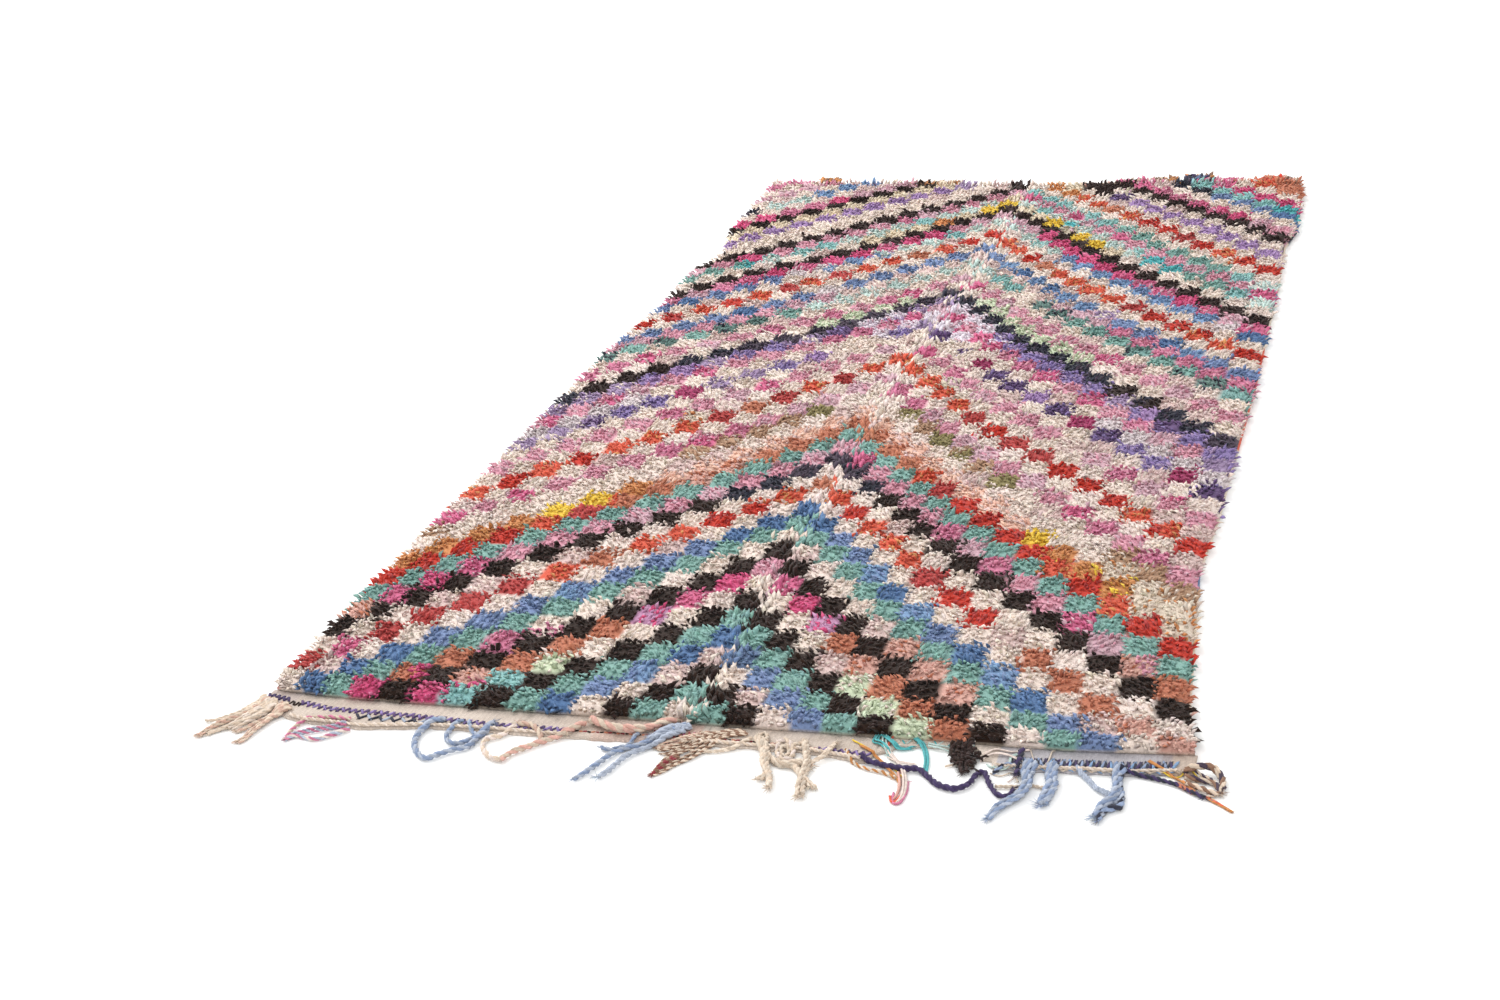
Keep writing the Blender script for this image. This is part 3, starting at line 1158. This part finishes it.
def row_line(row, stations):
    """The pile's edge along a row, read at these places across the rug."""
    columns = np.arange(-COLUMNS_LEFT, COLUMNS_RIGHT + 2) - 0.5
    return np.interp(stations, *field_point(columns, np.full(len(columns), float(row))))


def near_hem():
    """The hem at the near end, its front edge wavy and torn."""
    corners = [x for x, _ in HEM_FRONT[1:-1]]
    stations = np.unique(np.concatenate([np.arange(HEM_LEFT, HEM_RIGHT, HEM_STEP), corners]))
    back, front = row_line(0, stations) - HEM_GAP, along(HEM_FRONT, stations)
    return hem_strip("near_hem", stations, back, front, HEM_THICKNESS, near_hem_colours)


def far_hem():
    """The narrow even hem at the far end."""
    stations = np.arange(FAR_HEM_LEFT, FAR_HEM_RIGHT, FAR_HEM_STEP)
    near = row_line(ROWS, stations) + HEM_GAP

    def plain(corners):
        return np.tile(YARN_COLOURS["rope"], (len(corners), 1))

    far = near + FAR_HEM_WIDTH
    return hem_strip("far_hem", stations, far, near, FAR_HEM_THICKNESS, plain)


def yarn_tube(path, radii, sides, start_colour, end_colour, chance):
    """Corners, faces and colours of one round ply, closed at both ends."""
    curve = bpy.data.curves.new("ply", "CURVE")
    curve.dimensions = "3D"
    curve.bevel_depth = 1.0
    curve.bevel_resolution = (sides - 4) // 2
    curve.use_fill_caps = True
    spline = curve.splines.new("POLY")
    spline.points.add(len(path) - 1)
    spline.points.foreach_set("co", np.concatenate([path, np.ones((len(path), 1))], 1).ravel())
    spline.points.foreach_set("radius", np.asarray(radii, float))
    holder = bpy.data.objects.new("ply", curve)
    mesh = bpy.data.meshes.new_from_object(holder)
    corners = np.zeros(len(mesh.vertices) * 3)
    mesh.vertices.foreach_get("co", corners)
    corners = corners.reshape(-1, 3)
    faces = [list(face.vertices) for face in mesh.polygons]
    gaps = np.linalg.norm(corners[:, None, :] - path[None, :: max(len(path) // 12, 1)], axis=2)
    share = gaps.argmin(1) / max(gaps.shape[1] - 1, 1)
    light = 1 + 0.06 * chance.normal(size=(len(corners), 1))
    colours = (start_colour * (1 - share[:, None]) + end_colour * share[:, None]) * light
    bpy.data.objects.remove(holder)
    bpy.data.meshes.remove(mesh)
    bpy.data.curves.remove(curve)
    return corners, faces, np.clip(colours, 0, 1)


def smooth_route(points, steps):
    """Points read from a smooth curve through a yarn's own points."""
    points = np.array(points, float)
    known = np.concatenate([[2 * points[0] - points[1]], points, [2 * points[-1] - points[-2]]])
    for place in np.linspace(0, len(points) - 1, steps + 1):
        start = min(int(place), len(points) - 2)
        t = place - start
        a, b, c, d = known[start : start + 4]
        bend = (2 * a - 5 * b + 4 * c - d) * t**2 + (3 * b - a - 3 * c + d) * t**3
        yield 0.5 * (2 * b + (c - a) * t + bend)


def hair_shape():
    """A fine hair one unit long that stands along Z."""
    hair = bmesh.new()
    bmesh.ops.create_cone(hair, cap_ends=True, segments=3, radius1=HAIR_RADIUS, radius2=0, depth=1)
    bmesh.ops.remove_doubles(hair, verts=hair.verts, dist=1e-5)
    bmesh.ops.translate(hair, verts=hair.verts, vec=(0, 0, 0.5))
    return shape_arrays(hair)


def resting_height(x, y):
    """How high the hem or the floor lies under a yarn."""
    return HEM_THICKNESS * np.clip((y - along(HEM_FRONT, x) + 0.004) / 0.008, 0, 1)


def yarn_hairs(path, headings, widths, yarns, chance):
    """Fine hairs along a yarn, and longer ones that splay from its cut end."""
    run = float(np.sum(np.linalg.norm(np.diff(path[:, :2], axis=0), axis=1)))
    count = max(int(run / HAIR_SPACING), 6)
    spots = np.concatenate([chance.integers(0, len(path), count), np.full(FRAY_HAIRS, len(path) - 1)])
    at_end = np.arange(len(spots)) >= count
    lean = np.where(at_end, chance.normal(0, 0.45, len(spots)), chance.choice((-1, 1), len(spots)) * 0.9)
    heading = np.arctan2(headings[spots, 1], headings[spots, 0]) + lean + chance.normal(0, 0.3, len(spots))
    thick = np.clip(widths[spots] / 0.007, 0.45, 1.2)
    size = np.where(at_end, FRAY_LENGTH, HAIR_LENGTH) * thick * chance.uniform(0.6, 1.3, len(spots))
    tip_over = np.where(at_end, 1.52, chance.uniform(1.0, 1.6, len(spots)))
    names = chance.choice(yarns, len(spots))
    colours = strewn(np.array([YARN_COLOURS[name] for name in names]), chance, 0.12)
    outward = np.stack([np.cos(heading), np.sin(heading), 0 * heading], -1)
    roots = path[spots] + outward * widths[spots, None] * 0.25
    frames = turned(heading, tip_over, chance.uniform(0, 3, len(spots)), size)
    kinds = np.zeros(len(spots), int)
    tones = np.ones(len(HAIR_CORNERS))
    corners, faces, toned = planted(HAIR_CORNERS[None], HAIR_TRIANGLES, kinds, roots, frames, colours, tones)
    corners[:, 2] = np.maximum(corners[:, 2], HAIR_CLEARANCE)
    return corners, faces.tolist(), toned


def plied(route, width, tip_width, yarns, lift, chance):
    """The plies and hairs of one twisted yarn that lies along its route."""
    path = np.array(list(smooth_route(route, 8 * (len(route) - 1))))
    run = np.concatenate([[0], np.cumsum(np.linalg.norm(np.diff(path, axis=0), axis=1))])
    step = PLY_STEP * max(1, width / 0.006)
    places = np.linspace(0, run[-1], max(int(run[-1] / step), 6))
    share = places / run[-1]
    x, y = np.interp(places, run, path[:, 0]), np.interp(places, run, path[:, 1])
    headings = np.stack([np.gradient(x), np.gradient(y)], -1)
    headings /= np.linalg.norm(headings, axis=1)[:, None]
    slubs = np.interp(places, np.linspace(0, run[-1], 9), chance.uniform(0.86, 1.16, 9))
    widths = (width + (tip_width - width) * share) * slubs
    radii = widths * PLY_RADIUS[len(yarns)]
    rest = resting_height(x, y) + lift * np.sin(math.pi * share) + YARN_CLEARANCE
    turn = chance.uniform(0, 2 * math.pi) + 2 * math.pi * places / (width * PLY_PITCH * len(yarns) / 2)
    for ply, yarn in enumerate(yarns):
        angle = turn + 2 * math.pi * ply / len(yarns)
        off = widths / 2 - radii
        sideways = off * np.cos(angle)
        middle = np.stack([x - headings[:, 1] * sideways, y + headings[:, 0] * sideways], -1)
        height = rest + widths / 2 + off * np.sin(angle)
        colour = YARN_COLOURS[yarn] * chance.uniform(0.9, 1.1)
        yield yarn_tube(np.concatenate([middle, height[:, None]], 1), radii, 4, colour, colour, chance)
    spine = np.stack([x, y, rest + widths / 2], -1)
    yield yarn_hairs(spine, headings, widths, yarns, chance)


def joined(name, parts, material):
    """One piece made of many closed parts."""
    parts = list(parts)
    starts = np.cumsum([0] + [len(corners) for corners, _, _ in parts[:-1]])
    corners = np.concatenate([part[0] for part in parts])
    faces = []
    for start, part in zip(starts.tolist(), parts):
        faces += [[corner + start for corner in face] for face in part[1]]
    colours = np.concatenate([part[2] for part in parts])
    return piece_from(name, corners, faces, colours, material)


def laid_yarns(table, seed):
    """Every yarn of a table, with its copies side by side and each copy passing over the last."""
    chance = np.random.default_rng(seed)
    for yarns, width, tip_width, copies, apart_root, apart_tip, points in table:
        points = np.array(points, float)
        share = np.linspace(0, 1, len(points))[:, None]
        run = points[-1] - points[0]
        side = np.array([-run[1], run[0]]) / max(math.hypot(*run), 1)
        for copy in range(copies):
            place = (copy + 0.5) / copies - 0.5
            apart = (apart_root * (1 - share) + apart_tip * share) * place
            wander = chance.normal(0, 0.25 * width, points.shape) * (share if copies > 1 else 0)
            route = (points + side * apart + wander) / 1000
            lift = COPY_LIFT * chance.random() if copies > 1 else 0.0
            ends = width / 1000 * YARN_FULLNESS, tip_width / 1000 * YARN_FULLNESS
            yield from plied(route, *ends, yarns.split(), lift, chance)


def rolled_edge():
    """The cord of warps that rolls along the hem's front, in runs with gaps where the hem is torn."""
    chance = np.random.default_rng(SEEDS["rolled edge"])
    for first, last in ROLLED_RUNS:
        x = np.arange(first, last, ROLLED_STEP)
        y = along(HEM_FRONT, x) + ROLLED_INSET
        yield from plied(np.stack([x, y], -1), *ROLLED_WIDTHS, ["hem_cream", "rope"], 0.0, chance)


def stitch_shape():
    """A yarn's short float between two holes: a pointed bar one unit long along X."""
    stitch = bmesh.new()
    bmesh.ops.create_cone(stitch, cap_ends=True, segments=5, radius1=0.5, radius2=0.5, depth=0.6)
    for face in [face for face in stitch.faces if abs(face.normal.z) > 0.9]:
        point = bmesh.ops.poke(stitch, faces=[face])["verts"][0]
        point.co.z *= 1 / 0.6
    bmesh.ops.rotate(stitch, verts=stitch.verts, cent=(0, 0, 0), matrix=Matrix.Rotation(math.pi / 2, 3, "Y"))
    return shape_arrays(stitch)


def hem_stitches():
    """The twined line, the zigzag and the mending stitches, laid on the hem."""
    chance = np.random.default_rng(SEEDS["stitches"])
    corners, triangles = stitch_shape()
    for first, last, off, pitch, length, width, slant, yarns in STITCHES:
        names = yarns.split()
        for index, x in enumerate(np.arange(first, last, pitch)):
            turn = math.radians(slant) * (1 if index % 2 else -1) + chance.normal(0, 0.06)
            y = along(TWINING_LINE, x) if x < TWINING_END else along(HEM_FRONT, x)
            sized = corners * (length * chance.uniform(0.92, 1.08), width, width * 0.8)
            c, s = math.cos(turn), math.sin(turn)
            spun = sized @ np.array([(c, s, 0), (-s, c, 0), (0, 0, 1)])
            place = np.array([x, y + off + chance.normal(0, 0.0004), HEM_THICKNESS * 1.08])
            colour = YARN_COLOURS[names[index % len(names)]] * chance.uniform(0.85, 1.12)
            yield spun + place, triangles.tolist(), np.tile(np.clip(colour, 0, 1), (len(corners), 1))


def overcast_side(side):
    """A cord of wrapping along one side of the rug, its ribs one wrap long."""
    table = LEFT_EDGE if side < 0 else RIGHT_EDGE
    y = np.arange(*SIDE_ENDS, WRAP_STEP)
    x = along(table, y) - side * LOCK_REACH
    wrap = np.where(np.arange(len(y)) % 2, 1.0, 0.86)
    middle = np.stack([x, y, np.full_like(y, SIDE_CORD * 1.05)], -1)
    chance = np.random.default_rng(SEEDS["sides"])
    rope = YARN_COLOURS["rope"]
    corners, faces, colours = yarn_tube(middle, SIDE_CORD * wrap, WRAP_SIDES, rope, rope, chance)
    if side > 0:
        marks = np.array([mark for mark, _ in SIDE_WRAPS])
        names = [yarn for _, yarn in SIDE_WRAPS]
        which = np.clip(np.searchsorted(marks, corners[:, 1]) - 1, 0, len(names) - 1)
        colours = np.array([YARN_COLOURS[names[index]] for index in which])
    return corners, faces, colours


def ragged_ends(rows, edge, outward, shapes, triangles, seed):
    """Long loose locks beyond an edge, the ends that the knots there left over."""
    chance = np.random.default_rng(seed)
    tones = along(TUFT_TONES, np.linalg.norm(shapes[0], axis=1))
    for first, last, near, far, lean, height, count, yarns in rows:
        names = yarns.split()
        x = chance.uniform(first, last, count)
        y = along(edge, x) + chance.uniform(near, far, count)
        heading = outward + chance.normal(0, 0.8, count)
        tip_over = np.arctan2(lean, height) - math.radians(30) + chance.normal(0, 0.15, count)
        size = height * chance.uniform(0.85, 1.15, count)
        colours = strewn(np.array([YARN_COLOURS[chance.choice(names)] for _ in range(count)]), chance)
        kinds = chance.integers(0, len(shapes), count)
        roots = np.stack([x, y, np.full(count, TUFT_ROOT)], -1)
        frames = turned(heading, tip_over, chance.normal(0, 0.4, count), size)
        corners, faces, toned = planted(shapes, triangles, kinds, roots, frames, colours, tones)
        corners[:, 2] = np.clip(corners[:, 2], LOCK_CLEARANCE, LOCK_TOP)
        yield corners, faces.tolist(), toned


def studio():
    """A wide white floor, a bright even surround and one large soft light from the upper left."""
    floor = bmesh.new()
    bmesh.ops.create_grid(floor, x_segments=4, y_segments=4, size=FLOOR_SIZE)
    mesh = bpy.data.meshes.new("floor")
    floor.to_mesh(mesh)
    floor.free()
    mesh.materials.append(paper)
    made = bpy.data.objects.new("floor", mesh)
    made.location.z = -FLOOR_DROP
    bpy.context.scene.collection.objects.link(made)

    world = bpy.data.worlds.new("studio")
    world.use_nodes = True
    world.node_tree.nodes["Background"].inputs["Color"].default_value = (1, 1, 1, 1)
    world.node_tree.nodes["Background"].inputs["Strength"].default_value = SURROUND
    bpy.context.scene.world = world

    for name, energy, size, place, aim in LIGHTS:
        lamp = bpy.data.lights.new(name, "AREA")
        lamp.energy = energy
        lamp.size = size
        holder = bpy.data.objects.new(name, lamp)
        toward = Vector(aim) - Vector(place)
        holder.matrix_world = Matrix.Translation(place) @ toward.to_track_quat("-Z", "Y").to_matrix().to_4x4()
        bpy.context.scene.collection.objects.link(holder)

    camera = bpy.data.cameras.new("camera")
    camera.sensor_width = SENSOR
    camera.lens = LENS
    camera.clip_end = 60
    holder = bpy.data.objects.new("camera", camera)
    ahead = Vector(CAMERA_AHEAD).normalized()
    right = Vector(CAMERA_RIGHT).normalized()
    up = right.cross(ahead)
    turn = Matrix((right, up, -ahead)).transposed().to_4x4()
    holder.matrix_world = Matrix.Translation(CAMERA_PLACE) @ turn
    bpy.context.scene.collection.objects.link(holder)
    bpy.context.scene.camera = holder
    bpy.context.scene.view_settings.view_transform = "Standard"


studio()
chance = np.random.default_rng(SEEDS["chart"])
chart = block_yarns(chance)
shapes, triangles = lock_shapes(chance)
ground = ground_cloth(chart)
pile = [pile_piece(number, chart, shapes, triangles) for number in range(PILE_PIECES)]
hem = near_hem()
back_hem = far_hem()
HAIR_CORNERS, HAIR_TRIANGLES = hair_shape()
strands = joined("warp_strands", laid_yarns(WARP_STRANDS, SEEDS["warp"]), plied_yarn)
wool = joined("wool_yarns", laid_yarns(WOOL_YARNS, SEEDS["wool"]), plied_yarn)
threads = joined("loose_threads", laid_yarns(LOOSE_THREADS, SEEDS["threads"]), plied_yarn)
edge_cord = joined("rolled_hem_edge", rolled_edge(), plied_yarn)
stitches = joined("hem_stitches", hem_stitches(), plied_yarn)
sides = joined("overcast_sides", [overcast_side(-1), overcast_side(1)], plied_yarn)
ends = [
    *ragged_ends(FAR_TUFTS, FAR_EDGE, math.pi / 2, shapes, triangles, SEEDS["far tufts"]),
    *ragged_ends(TORN_TUFT, HEM_FRONT, -math.pi / 2, shapes, triangles, SEEDS["torn tuft"]),
]
tufts = joined("ragged_tufts", ends, rag_pile)

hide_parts("rug_field")
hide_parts("near_fringe")
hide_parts("far_fringe")
